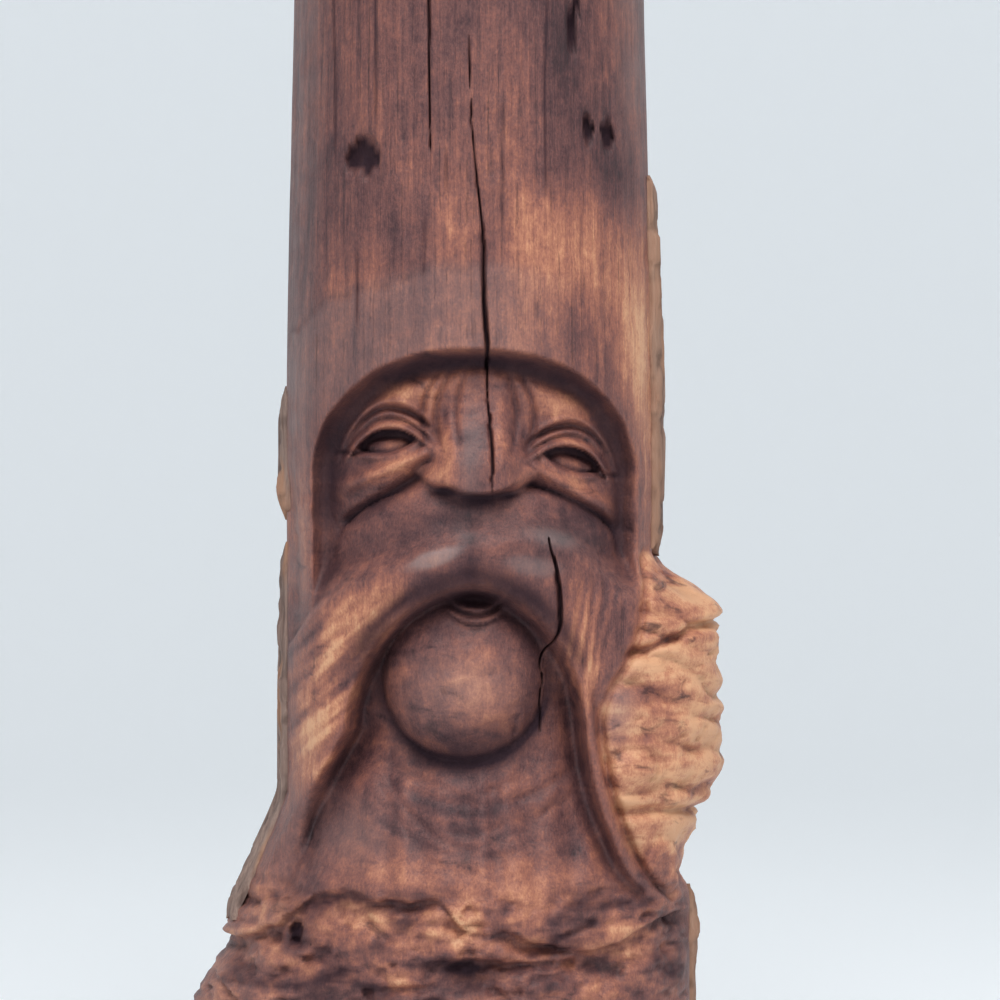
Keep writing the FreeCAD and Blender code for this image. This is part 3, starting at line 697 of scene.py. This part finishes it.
cedar = bpy.data.materials.new("oiled_red_cedar")
cedar.use_nodes = True
shader = cedar.node_tree.nodes["Principled BSDF"]
place = add(cedar, "TexCoord").outputs["Object"]
weather_and_shade = add(cedar, "Attribute", attribute_name="weather_and_shade")
parts = add(cedar, "SeparateColor", {"Color": weather_and_shade.outputs["Color"]})
gold_share, stain_and_shade_share, grey_and_sheen_share = parts.outputs
burl_share = weather_and_shade.outputs["Alpha"]
# Grain across the log and along it, in millimetres, then how much detail, how rough, how bent.
grains = {}
for grain, (across, along, detail, roughness, bend) in {
    "streaks": (1.5, 34, 4, 0.62, 0),
    "broad": (7, 60, 3, 0.55, 0),
    "fibres": (0.45, 12, 3, 0.65, 0),
    "hairlines": (0.8, 70, 3, 0.7, 0.1),
    "mottle": (2.2, 3, 6, 0.72, 0),
    "pores": (0.5, 0.9, 2, 0.7, 0),
    "clouds": (8, 15, 5, 0.6, 0.8),
    "curls": (11, 5, 5, 0.56, 0.8),
}.items():
    size = (1 / (across * MILLIMETRE), 1 / (across * MILLIMETRE), 1 / (along * MILLIMETRE))
    scaled = add(cedar, "Mapping", {"Vector": place, "Scale": size})
    grains[grain] = add(cedar, "TexNoise", {
        "Vector": scaled.outputs[0], "Scale": 1, "Detail": detail, "Roughness": roughness,
        "Distortion": bend}).outputs["Fac"]
# A burl has no straight grain: its streaks give way to curls.
for straight in ("streaks", "fibres", "hairlines"):
    mixed = add(cedar, "Mix", {0: burl_share, 2: grains[straight], 3: grains["curls"]})
    grains[straight] = mixed.outputs[0]
# Growth rings 2.3 mm apart round the pith, pushed about so that no ring is a true circle.
push = add(cedar, "TexNoise", {"Vector": place, "Scale": 26, "Detail": 2})
pushed = add(cedar, "VectorMath", {0: push.outputs["Color"], "Scale": 0.016}, operation="SCALE")
ring_place = add(cedar, "VectorMath", {0: place, 1: pushed.outputs[0]}, operation="ADD")
rings = add(cedar, "TexWave", {
    "Vector": ring_place.outputs[0], "Scale": 2 * np.pi / (20 * 2.3 * MILLIMETRE), "Distortion": 1.2,
    "Detail": 2, "Detail Scale": 1.4}, wave_type="RINGS", rings_direction="Z", wave_profile="SIN")
grains["rings"] = rings.outputs["Fac"]
tone = gold_share
for grain, weight in (
    ("streaks", 0.46), ("broad", 0.40), ("fibres", 0.26), ("mottle", 0.50), ("pores", 0.42),
    ("clouds", 0.42), ("rings", -0.035),
):
    sum_node = add(cedar, "Math", {0: grains[grain], 1: weight, 2: tone}, operation="MULTIPLY_ADD")
    tone = sum_node.outputs[0]
tone = add(cedar, "Math", {0: tone, 1: -1.21}, operation="ADD", use_clamp=True).outputs[0]
wood_tone_colour = add(cedar, "ValToRGB", {"Fac": tone}, [
    (0, "#2f1f22"), (0.18, "#4c2f31"), (0.36, "#6a4440"), (0.52, "#865347"), (0.68, "#a46953"),
    (0.84, "#bf8363"), (1, "#d4a27c")])
wood_tone_colour.color_ramp.interpolation = "B_SPLINE"
weathered = add(cedar, "Mix", {
    0: grains["broad"], 6: linear("#6f6262"), 7: linear("#9a8884")}, data_type="RGBA")
# The grey share includes the painted sheen down the nose's ridge.
grey_and_sheen_cover = add(cedar, "Math", {0: grey_and_sheen_share, 1: 0.62}, operation="MULTIPLY")
colour = add(cedar, "Mix", {
    0: grey_and_sheen_cover.outputs[0], 6: wood_tone_colour.outputs[0], 7: weathered.outputs[2]}, data_type="RGBA")
# Lines and hairlines: where their noise falls below 0.4 the wood is nearly black.
for grain, below_value, steepness in (("streaks", 0.40, 2.6), ("hairlines", 0.415, 4.4)):
    under = add(cedar, "Math", {0: below_value, 1: grains[grain]}, operation="SUBTRACT", use_clamp=True)
    line = add(cedar, "Math", {0: under.outputs[0], 1: steepness}, operation="MULTIPLY", use_clamp=True)
    colour = add(cedar, "Mix", {
        0: line.outputs[0], 6: colour.outputs[2], 7: linear("#24181b")}, data_type="RGBA")
# Stain and painted shade darken the wood to a near-black purple.
uneven = add(cedar, "Math", {0: grains["mottle"], 1: 0.7, 2: 0.65}, operation="MULTIPLY_ADD")
dark = add(cedar, "Math", {0: stain_and_shade_share, 1: uneven.outputs[0]}, operation="MULTIPLY", use_clamp=True)
colour = add(cedar, "Mix", {
    0: dark.outputs[0], 6: colour.outputs[2], 7: linear("#2e2026")}, data_type="RGBA")
gloss = add(cedar, "Math", {0: grains["fibres"], 1: 0.22, 2: 0.38}, operation="MULTIPLY_ADD")
gloss = add(cedar, "Math", {0: dark.outputs[0], 1: 0.25, 2: gloss.outputs[0]}, operation="MULTIPLY_ADD")
sheen = add(cedar, "Math", {0: dark.outputs[0], 1: -0.26, 2: 0.34}, operation="MULTIPLY_ADD")
height = 0
for grain, weight in (
    ("pores", 0.30), ("mottle", 0.30), ("fibres", 0.35), ("streaks", 0.5), ("hairlines", 0.3),
):
    sum_node = add(cedar, "Math", {0: grains[grain], 1: weight, 2: height}, operation="MULTIPLY_ADD")
    height = sum_node.outputs[0]
bump = add(cedar, "Bump", {"Height": height, "Strength": 1, "Distance": 0.6 * MILLIMETRE})
shader.inputs["IOR"].default_value = 1.5
for output, socket in (
    (colour.outputs[2], "Base Color"), (gloss.outputs[0], "Roughness"),
    (sheen.outputs[0], "Specular IOR Level"), (bump.outputs[0], "Normal"),
):
    cedar.node_tree.links.new(output, shader.inputs[socket])
log_piece.data.materials.append(cedar)
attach(log_piece, "root")
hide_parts("carved_log")


# ==== The plates of bark ====================================================================
# Weathered bark, three millimetres thick, that was left on the log's sides and back. It has
# dried, split along the log and let go of its neighbours, so every plate has ragged edges.
bark_gap = 0.05              # bark has let go of the wood by this much
bark_thickness = 2.9

bark = bpy.data.materials.new("weathered_cedar_bark")
bark.use_nodes = True
shader = bark.node_tree.nodes["Principled BSDF"]
place = add(bark, "TexCoord").outputs["Object"]
cover = add(bark, "Attribute", attribute_name="weather_and_shade")
cover_parts = add(bark, "SeparateColor", {"Color": cover.outputs["Color"]})
grains = {}
for grain, (across, along, detail, roughness, bend) in {
    "strips": (2.4, 45, 4, 0.62, 0.4),
    "threads": (0.6, 14, 3, 0.65, 0),
    "lichen": (9, 12, 4, 0.6, 0),
}.items():
    size = (1 / (across * MILLIMETRE), 1 / (across * MILLIMETRE), 1 / (along * MILLIMETRE))
    scaled = add(bark, "Mapping", {"Vector": place, "Scale": size})
    grains[grain] = add(bark, "TexNoise", {
        "Vector": scaled.outputs[0], "Scale": 1, "Detail": detail, "Roughness": roughness,
        "Distortion": bend}).outputs["Fac"]
tone = add(bark, "Math", {0: grains["strips"], 1: 0.9, 2: -0.2}, operation="MULTIPLY_ADD")
tone = add(bark, "Math", {0: grains["threads"], 1: 0.5, 2: tone.outputs[0]}, operation="MULTIPLY_ADD")
colour = add(bark, "ValToRGB", {"Fac": tone.outputs[0]}, [
    (0, "#2c2020"), (0.3, "#5f443a"), (0.5, "#82675b"), (0.7, "#9c8274"), (1, "#bba08f")])
grey = add(bark, "Math", {0: grains["lichen"], 1: 0.4}, operation="MULTIPLY")
colour = add(bark, "Mix", {
    0: grey.outputs[0], 6: colour.outputs[0], 7: linear("#8f8580")}, data_type="RGBA")
# The bark's orange where flakes have fallen, then its dark: painted shade on the furrows' floors, and
# dark spots.
for share, code in ((cover_parts.outputs[0], "#a87b5f"), (cover_parts.outputs[1], "#241a19")):
    colour = add(bark, "Mix", {0: share, 6: colour.outputs[2], 7: linear(code)}, data_type="RGBA")
bark.node_tree.links.new(colour.outputs[2], shader.inputs["Base Color"])
shader.inputs["Roughness"].default_value = 0.82
shader.inputs["Specular IOR Level"].default_value = 0.25
height = add(bark, "Math", {0: grains["strips"], 1: 0.8}, operation="MULTIPLY")
height = add(bark, "Math", {0: grains["threads"], 1: 0.4, 2: height.outputs[0]}, operation="MULTIPLY_ADD")
bump = add(bark, "Bump", {
    "Height": height.outputs[0], "Strength": 0.9, "Distance": 0.9 * MILLIMETRE})
bark.node_tree.links.new(bump.outputs[0], shader.inputs["Normal"])


def bark_surface(start, end, bottom, top, seed):
    """A plate's net and shares: across, then up. Its outer face lies under the plate's full
    thickness by ridged noise drawn out along the log, and it thins to nothing at its edges."""
    wide = max(12, round((end - start) / 1.05))
    tall = max(12, round((top - bottom) / 1.2))
    s, t = np.meshgrid(np.linspace(0, 1, wide), np.linspace(0, 1, tall))
    angle = start + (end - start) * s
    z = bottom + (top - bottom) * t
    arc = np.radians(angle) * 50
    ragged_side = 1.4 * rough(z / 7, s * 2, 3, seed)
    ragged_end = 2.6 * rough(arc / 5, t * 2, 3, seed + 5)
    angle = angle + np.where(s < 0.5, 1, -1) * (1.6 + ragged_side) * np.abs(2 * s - 1) ** 6
    z = z + np.where(t < 0.5, 1, -1) * (2.8 + ragged_end) * np.abs(2 * t - 1) ** 10
    warp = 2.2 * rough(arc / 9, z / 40, 2, seed + 9)
    furrows = np.abs(np.sin(np.pi * (arc + warp) / 5.2)) ** 0.5
    breaks = rise(0.34, 0.62, np.abs(rough(arc / 7, z / 16, 3, seed + 13)) + 0.32)
    flakes = 0.5 + 0.5 * noise(arc / 3, z / 24, seed + 17)
    thick = 0.30 + 0.34 * furrows * breaks + 0.30 * flakes
    at_front = s if start > 180 else 1 - s
    uneven = 8 + 6 * rough(z / 8, 0, 3, seed + 27)
    sides = np.minimum((1 - at_front) * (end - start) / uneven.clip(2.2), at_front * (end - start) / 2.2)
    edge = np.minimum(sides, np.minimum(t, 1 - t) * (top - bottom) / 9)
    thick = np.clip(thick, 0.12, 0.97) * rise(0, 1, np.clip(edge, 0, 1)) ** 0.5
    radius = log_radius(angle, z)
    turn = np.radians(angle)
    outer = radius + bark_gap + bark_thickness * np.maximum(thick, 0.02)
    inner = radius - 1
    layers = [np.stack([r * np.sin(turn), -r * np.cos(turn), z], axis=-1) for r in (outer, inner)]
    fresh = 0.75 * rise(0.45, 0.75, flakes) * rise(-0.2, 0.4, rough(arc / 6, z / 18, 2, seed + 21))
    fresh = np.maximum(fresh, 0.55 * rise(0.7, 0.95, at_front) * (start < 100))
    spots = 0.35 * rise(0.3, 0.9, rough(arc / 4, z / 4, 3, seed + 23))
    # Painted shade on the furrows' floors, less near the plate's front edge, and dark spots in the bark.
    deep = np.maximum(rise(0.55, 0.15, furrows) * 0.7 * rise(0.98, 0.85, at_front), spots)
    return layers, np.stack([fresh, deep, 0 * deep, 1 + 0 * deep], axis=-1)


for seed, name in enumerate(sorted(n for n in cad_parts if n.endswith("_bark"))):
    corners = np.array([v.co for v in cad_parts[name].data.vertices]) / MILLIMETRE
    around_log = np.degrees(np.arctan2(corners[:, 0], -corners[:, 1])) % 360
    (outer, inner), cover = bark_surface(
        around_log.min(), around_log.max(), corners[:, 2].min(), corners[:, 2].max(), 200 + 30 * seed
    )
    tall, wide = outer.shape[:2]
    count = tall * wide
    index = np.arange(count).reshape(tall, wide)
    corners = [index[:-1, :-1], index[:-1, 1:], index[1:, 1:], index[1:, :-1]]
    front_faces = np.stack(corners, axis=-1).reshape(-1, 4)
    rim = np.concatenate([index[0, :-1], index[:-1, -1], index[-1, :0:-1], index[:0:-1, 0]])
    ahead = np.roll(rim, -1)
    rim_faces = np.stack([rim, rim + count, ahead + count, ahead], axis=-1)
    faces = np.concatenate([front_faces, front_faces[:, ::-1] + count, rim_faces]).tolist()
    points = np.concatenate([outer.reshape(-1, 3), inner.reshape(-1, 3)])
    plate = make_piece(name + "_plate", points, faces, 70)
    layer = plate.data.color_attributes.new("weather_and_shade", "FLOAT_COLOR", "POINT")
    layer.data.foreach_set("color", np.clip(np.concatenate([cover.reshape(-1, 4)] * 2), 0, 1).ravel())
    plate.data.materials.append(bark)
    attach(plate, "root")
    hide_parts(name)


# ==== The dead knots ========================================================================
# What is left of dead branches: dry, nearly black cones of older wood that have shrunk in
# their holes. Their sunken faces are split by star-shaped cracks and crumble at the edge.
dead_wood = bpy.data.materials.new("dead_knot_wood")
dead_wood.use_nodes = True
shader = dead_wood.node_tree.nodes["Principled BSDF"]
place = add(dead_wood, "TexCoord").outputs["Object"]
crumbs = add(dead_wood, "TexNoise", {
    "Vector": place, "Scale": 1 / (0.8 * MILLIMETRE), "Detail": 4})
colour = add(dead_wood, "ValToRGB", {"Fac": crumbs.outputs["Fac"]}, [
    (0.25, "#120d10"), (0.55, "#221a1d"), (0.85, "#43302e")])
dead_wood.node_tree.links.new(colour.outputs[0], shader.inputs["Base Color"])
shader.inputs["Roughness"].default_value = 0.85
bump = add(dead_wood, "Bump", {
    "Height": crumbs.outputs["Fac"], "Strength": 0.8, "Distance": 0.5 * MILLIMETRE})
dead_wood.node_tree.links.new(bump.outputs[0], shader.inputs["Normal"])

for seed, name in enumerate(sorted(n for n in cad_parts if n.endswith("_knot"))):
    corners = np.array([v.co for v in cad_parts[name].data.vertices]) / MILLIMETRE
    from_pith = np.hypot(corners[:, 0], corners[:, 1])
    outer_rim = corners[from_pith > from_pith.max() - 2]
    inner_rim = corners[from_pith < from_pith.min() + 2]
    outer_middle, inner_middle = outer_rim.mean(axis=0), inner_rim.mean(axis=0)
    axis = (outer_middle - inner_middle) / np.linalg.norm(outer_middle - inner_middle)
    level = np.cross([0, 0, 1], axis)
    level = level / np.linalg.norm(level)
    half_width = np.abs((outer_rim - outer_middle) @ level).max()
    half_height = np.abs(outer_rim[:, 2] - outer_middle[2]).max()
    sides, steps = 40, np.array([0, 0.25, 0.5, 0.72, 0.88, 1, 1, 0.8, 0.5])
    depths = np.array([2.2, 1.9, 1.7, 1.5, 1.5, 1.9, 5, 12, 18])
    turn, share = np.meshgrid(np.linspace(0, 2 * np.pi, sides, endpoint=False), steps)
    depth = np.repeat(depths[:, None], sides, axis=1)
    splits = sum(bell((turn - a + np.pi) % (2 * np.pi) - np.pi, 0.16) for a in (0.5, 1.9, 3.3, 4.6, 5.6))
    crumble = noise(share * 4 * np.cos(turn) + 9 * seed, share * 4 * np.sin(turn), 300 + seed)
    on_face = (depth < 4) * share
    depth = depth + on_face * (0.9 * splits + 0.5 * crumble)
    span = share * (1 - 0.05 * (1 + crumble))
    points = (
        outer_middle
        - axis * depth[..., None]
        + level * (half_width * span * np.cos(turn))[..., None]
        + np.array([0, 0, 1]) * (half_height * span * np.sin(turn))[..., None]
    )
    points = points.reshape(-1, 3)[sides - 1:]
    faces = net_faces(len(steps) - 1, sides, first=1)[:, ::-1].tolist()
    fan = [[0, 1 + i, 1 + (i + 1) % sides] for i in range(sides)]
    tail = list(range(len(points) - sides, len(points)))[::-1]
    knot = make_piece(name + "_wood", points, fan + faces + [tail])
    knot.data.materials.append(dead_wood)
    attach(knot, "root")
    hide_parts(name)


# ==== The studio ============================================================================
# A pale, seamless sweep: a level floor that curves up into a wall all round. It is plain
# matt paper. A broad soft light hangs above and before the figure, with a weak one low down.
paper = bpy.data.materials.new("pale_backdrop_paper")
paper.use_nodes = True
shader = paper.node_tree.nodes["Principled BSDF"]
shader.inputs["Base Color"].default_value = linear("#e5e8ea")
shader.inputs["Roughness"].default_value = 0.9
shader.inputs["Emission Color"].default_value = linear("#dde1e5")
shader.inputs["Emission Strength"].default_value = 0.26

sweep_turn = np.linspace(0, 0.5 * np.pi, 13)
sweep_r = np.concatenate([[0, 0.5, 1], 1.3 + 1 * np.sin(sweep_turn), [2.3]]) / MILLIMETRE
sweep_z = np.concatenate([[0, 0, 0], 1 - np.cos(sweep_turn), [2.6]]) / MILLIMETRE
turn, share = np.meshgrid(np.linspace(0, 2 * np.pi, 64, endpoint=False), np.arange(len(sweep_r)))
radius, level = sweep_r[share], sweep_z[share]
points = np.stack([radius * np.cos(turn), radius * np.sin(turn), level - 0.2], axis=-1).reshape(-1, 3)
floor = make_piece("studio_sweep", points, net_faces(len(sweep_r), 64).tolist())
floor.data.materials.append(paper)


def soft_light(name, place, towards, size, watts, code):
    """A square area light that faces a point."""
    lamp = bpy.data.lights.new(name, "AREA")
    lamp.size = size
    lamp.energy = watts
    lamp.color = linear(code)[:3]
    lamp_object = bpy.data.objects.new(name, lamp)
    lamp_object.location = place
    lamp_object.rotation_euler = (Vector(towards) - Vector(place)).to_track_quat("-Z", "Y").to_euler()
    bpy.context.scene.collection.objects.link(lamp_object)


soft_light("window_light", (0.05, -0.75, 1.25), (0, 0, 0.18), 0.7, 15, "#ffffff")
soft_light("fill_light", (-0.3, -1.3, 0.2), (0, 0, 0.2), 1, 2, "#f4f8ff")

world = bpy.data.worlds.new("studio_air")
bpy.context.scene.world = world
world.use_nodes = True
world.node_tree.nodes["Background"].inputs[0].default_value = linear("#e9edf0")
world.node_tree.nodes["Background"].inputs[1].default_value = 0.30

camera = bpy.data.cameras.new("camera")
camera.lens = 109.5
camera_object = bpy.data.objects.new("camera", camera)
camera_object.location = (8.1 * MILLIMETRE, -823 * MILLIMETRE, 195 * MILLIMETRE)
camera_object.rotation_euler = (0.5 * np.pi, 0, 0)
bpy.context.scene.collection.objects.link(camera_object)
bpy.context.scene.camera = camera_object
bpy.context.scene.view_settings.view_transform = "Standard"
